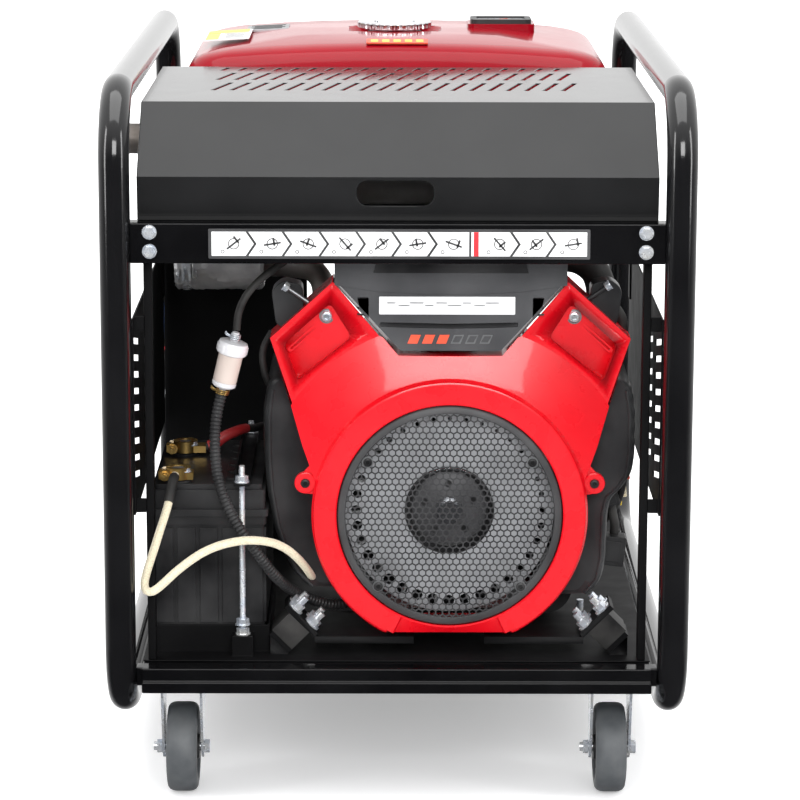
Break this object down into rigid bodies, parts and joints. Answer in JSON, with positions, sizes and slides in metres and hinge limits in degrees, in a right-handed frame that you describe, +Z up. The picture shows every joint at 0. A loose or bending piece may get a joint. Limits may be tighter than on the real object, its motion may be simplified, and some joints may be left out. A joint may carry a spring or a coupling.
{
  "type": "portable generator",
  "caption": "Portable generator in a tube frame on casters: a petrol engine and alternator, with a fuel tank, a battery, a covered muffler and a control panel.",
  "frame": {"origin": "on the ground, under the middle of the bounding box", "axes": "+X to the right of someone facing the cooling-air intake, +Y away from them towards the alternator end, +Z up"},
  "size_m": [0.65, 0.949, 0.821],
  "materials": {
    "frame_paint": "gloss black powder coat",
    "guard_paint": "satin black powder coat",
    "zinc": "bright zinc plating",
    "cover_paint": "semi-gloss black paint",
    "muffler_steel": "dull heat-stained steel",
    "heat_foil": "crinkled foil",
    "tank_paint": "gloss deep red paint",
    "dull_steel": "plain steel",
    "chrome": "polished",
    "black_rubber": "matte",
    "black_plastic": "fine texture",
    "dark_grey_plastic": "fine texture",
    "cast_alloy": "as cast",
    "shroud_red": "gloss",
    "grille_grey": "satin",
    "copper_winding": "varnished winding",
    "shaft_steel": "ground",
    "filter_white": "gloss white paint",
    "yellow_plastic": "gloss",
    "battery_case": "moulded",
    "brass": "dull",
    "cream_sleeve": "braided sleeve",
    "red_rubber": "semi-gloss",
    "filter_clear": "translucent white",
    "blue_plastic": "gloss",
    "white_plastic": "gloss",
    "wheel_grey": "matte"
  },
  "bodies": {
    "machine": {"side_loop_left": "frame_paint", "side_loop_right": "frame_paint", "base_rails": "frame_paint", "deck_tray": "frame_paint", "cross_bars": "frame_paint", "uprights": "frame_paint", "upper_rails": "frame_paint", "side_guards": "guard_paint", "bolts": "zinc", "muffler_cover": "cover_paint", "muffler": "muffler_steel", "exhaust_wrap": "heat_foil", "tank_upper_shell": "tank_paint", "tank_lower_shell": "tank_paint", "filler_neck": "dull_steel", "fuel_gauge": "black_plastic", "crankcase": "cast_alloy", "cylinders": "cast_alloy", "cylinder_heads": "guard_paint", "cylinder_shrouds": "cover_paint", "fan_shroud": "shroud_red", "fan_grille": "grille_grey", "intake_panel": "dark_grey_plastic", "air_cleaner": "dark_grey_plastic", "carburettor": "cast_alloy", "alternator_housing": "cast_alloy", "alternator_stator": "dull_steel", "crank_bearings": "shaft_steel", "starter_motor": "guard_paint", "oil_filter": "filter_white", "mount_brackets": "frame_paint", "rubber_mounts": "black_rubber", "battery": "battery_case", "battery_clamps": "brass", "battery_hold_down": "zinc", "negative_lead": "cream_sleeve", "positive_lead": "red_rubber", "fuel_filter": "filter_clear", "fuel_hose": "black_rubber", "fuel_loom": "black_plastic", "plug_leads": "black_rubber", "control_panel": "guard_paint", "sockets": "blue_plastic", "caster_frames": "zinc"},
    "crank": {"crankshaft": "shaft_steel", "flywheel_fan": "cast_alloy", "alternator_rotor": "copper_winding"},
    "cap_seal": {"fuel_cap_seal": "black_rubber"},
    "cap": {"fuel_cap": "chrome"},
    "dipstick": {"dipstick": "yellow_plastic"},
    "socket_cover": {"socket_cover": "dark_grey_plastic"},
    "breaker_toggle": {"breaker_toggle": "white_plastic"},
    "ignition_key": {"ignition_key": "shaft_steel"},
    "choke_knob": {"choke_knob": "black_plastic"},
    "rear_fork_left": {"rear_fork_left": "zinc"},
    "rear_fork_right": {"rear_fork_right": "zinc"},
    "wheel_front_left": {"wheel_front_left": "wheel_grey"},
    "wheel_front_right": {"wheel_front_right": "wheel_grey"},
    "wheel_rear_left": {"wheel_rear_left": "wheel_grey"},
    "wheel_rear_right": {"wheel_rear_right": "wheel_grey"}
  },
  "joints": [
    {"name": "crank_spin", "type": "hinge", "parent": "machine", "child": "crank", "pos_m": [0.059, 0, 0.326], "axis": [0, 1, 0], "continuous": true},
    {"name": "cap_lift", "type": "slide", "parent": "machine", "child": "cap_seal", "axis": [0, 0, 1], "range_m": [0, 0.06]},
    {"name": "cap_turn", "type": "hinge", "parent": "cap_seal", "child": "cap", "pos_m": [-0.003, 0.225, 0.815], "axis": [0, 0, 1], "range_deg": [0, 90]},
    {"name": "dipstick_pull", "type": "slide", "parent": "machine", "child": "dipstick", "axis": [0.3746, 0, 0.9272], "range_m": [0, 0.1]},
    {"name": "socket_cover_open", "type": "hinge", "parent": "machine", "child": "socket_cover", "pos_m": [-0.295, 0.15, 0.492], "axis": [0, 1, 0], "range_deg": [0, 110]},
    {"name": "breaker_trip", "type": "hinge", "parent": "machine", "child": "breaker_toggle", "pos_m": [-0.288, 0.262, 0.545], "axis": [0, -1, 0], "range_deg": [0, 50]},
    {"name": "key_turn", "type": "hinge", "parent": "machine", "child": "ignition_key", "pos_m": [-0.29, 0.35, 0.545], "axis": [1, 0, 0], "range_deg": [0, 75]},
    {"name": "choke_pull", "type": "slide", "parent": "machine", "child": "choke_knob", "axis": [-1, 0, 0], "range_m": [0, 0.02]},
    {"name": "rear_left_swivel", "type": "hinge", "parent": "machine", "child": "rear_fork_left", "pos_m": [-0.2, 0.385, 0.126], "axis": [0, 0, 1], "continuous": true},
    {"name": "rear_right_swivel", "type": "hinge", "parent": "machine", "child": "rear_fork_right", "pos_m": [0.2, 0.385, 0.126], "axis": [0, 0, 1], "continuous": true},
    {"name": "front_left_spin", "type": "hinge", "parent": "machine", "child": "wheel_front_left", "pos_m": [-0.243, -0.397, 0.051], "axis": [1, 0, 0], "continuous": true},
    {"name": "front_right_spin", "type": "hinge", "parent": "machine", "child": "wheel_front_right", "pos_m": [0.243, -0.397, 0.051], "axis": [1, 0, 0], "continuous": true},
    {"name": "rear_left_spin", "type": "hinge", "parent": "rear_fork_left", "child": "wheel_rear_left", "pos_m": [-0.2, 0.417, 0.051], "axis": [1, 0, 0], "continuous": true},
    {"name": "rear_right_spin", "type": "hinge", "parent": "rear_fork_right", "child": "wheel_rear_right", "pos_m": [0.2, 0.417, 0.051], "axis": [1, 0, 0], "continuous": true}
  ]
}
